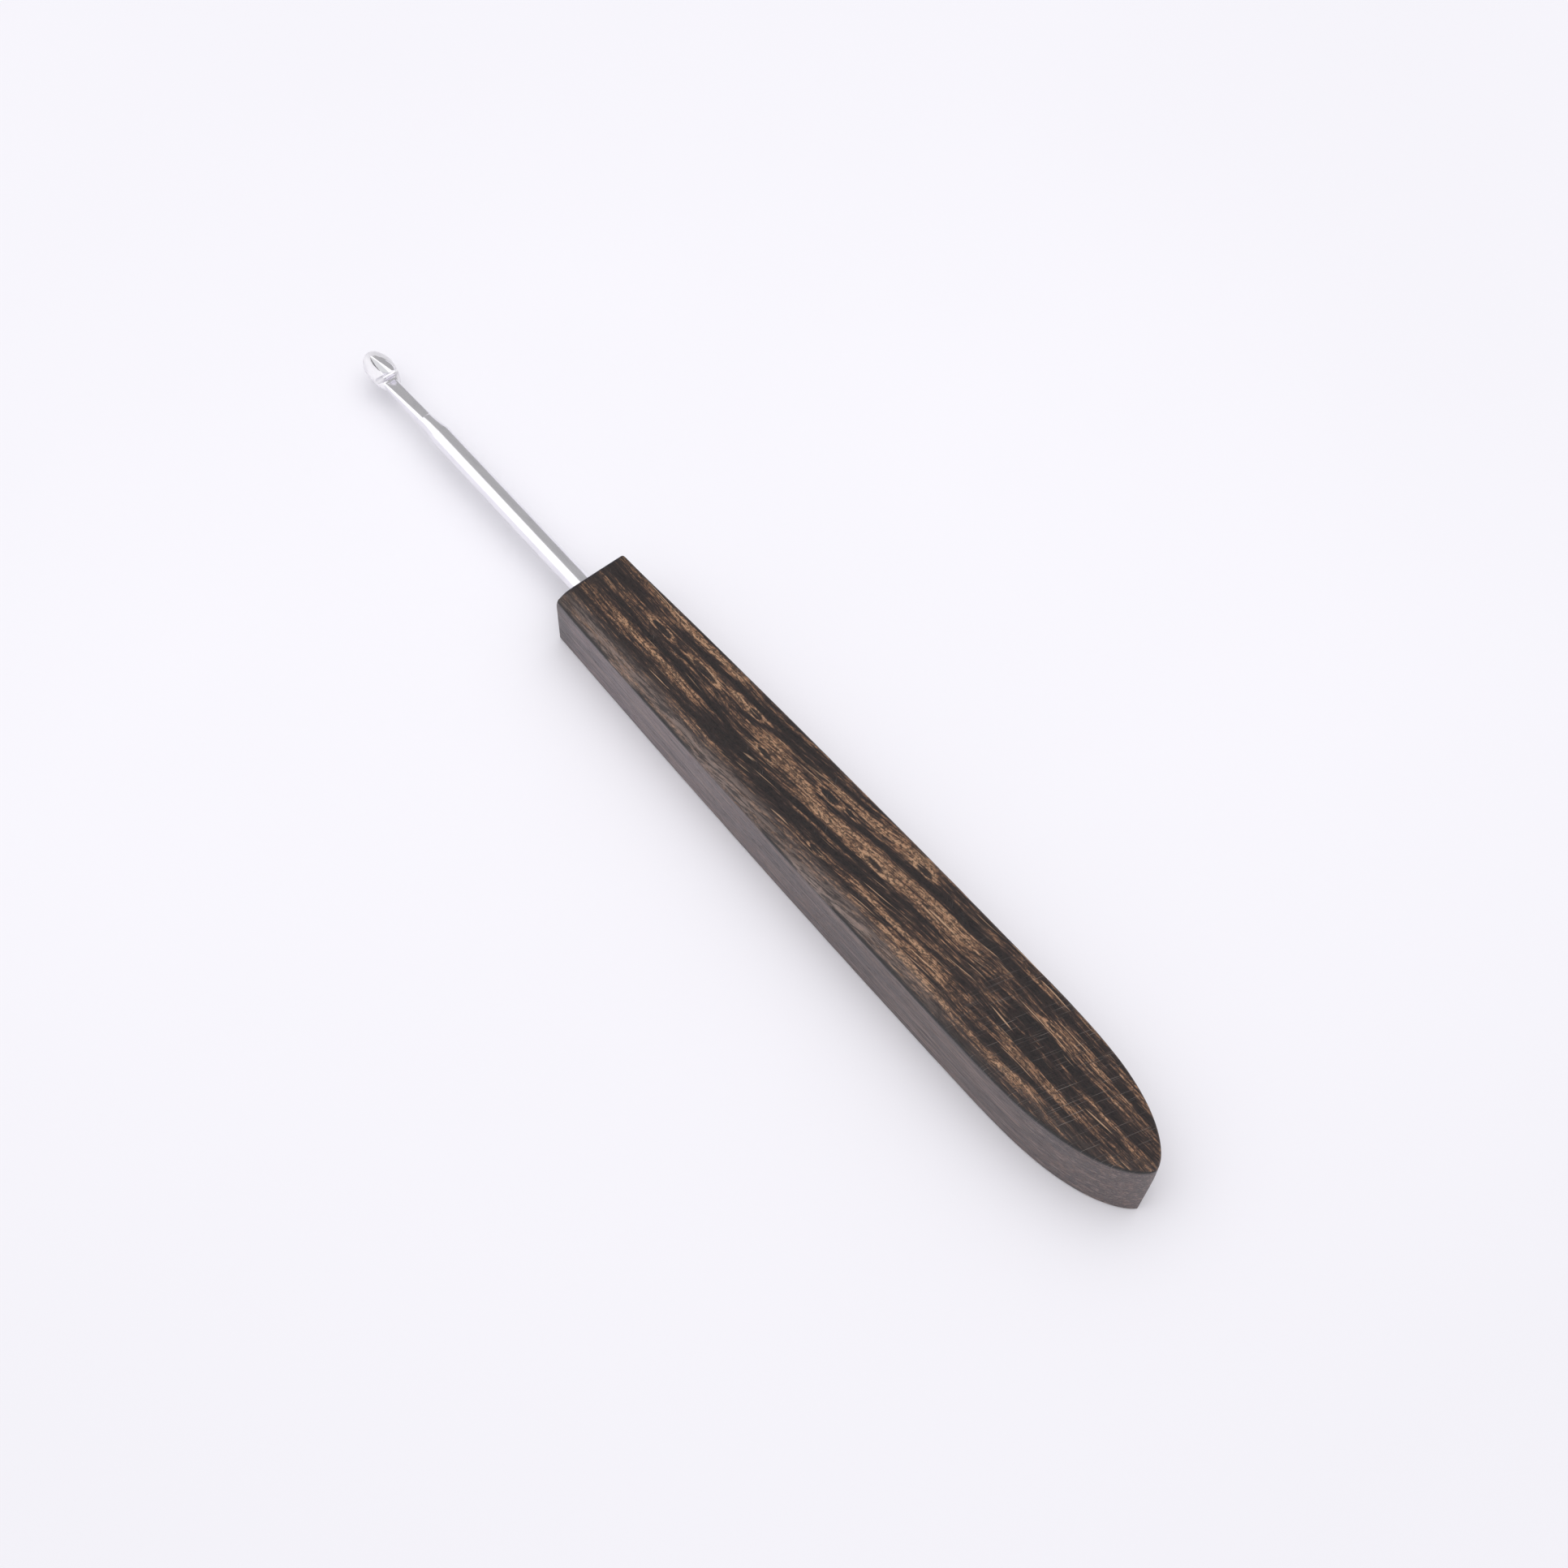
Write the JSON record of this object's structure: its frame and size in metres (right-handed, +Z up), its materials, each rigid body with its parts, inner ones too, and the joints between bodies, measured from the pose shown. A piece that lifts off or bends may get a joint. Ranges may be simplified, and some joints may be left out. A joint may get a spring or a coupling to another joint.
{
  "type": "crochet hook",
  "caption": "Slim metal crochet hook with an oval head, undercut yarn slot and flat-topped neck, glued into a flat hardwood handle that widens towards its rounded butt.",
  "frame": {"origin": "middle of the handle's lower broad face, halfway along the handle and on its centre line", "axes": "+X along the tool towards the hook's tip, +Y across the handle's width, +Z up, the way the hook's mouth opens"},
  "size_m": [0.1608, 0.014, 0.011],
  "materials": {
    "wood": "dark open-grained hardwood with tan bands, sanded and lightly waxed",
    "hook_metal": "polished, bright silver",
    "adhesive": "cured clear amber resin, hidden in the socket"
  },
  "bodies": {
    "root": {"handle": "wood", "hook": "hook_metal", "adhesive": "adhesive"}
  },
  "joints": []
}
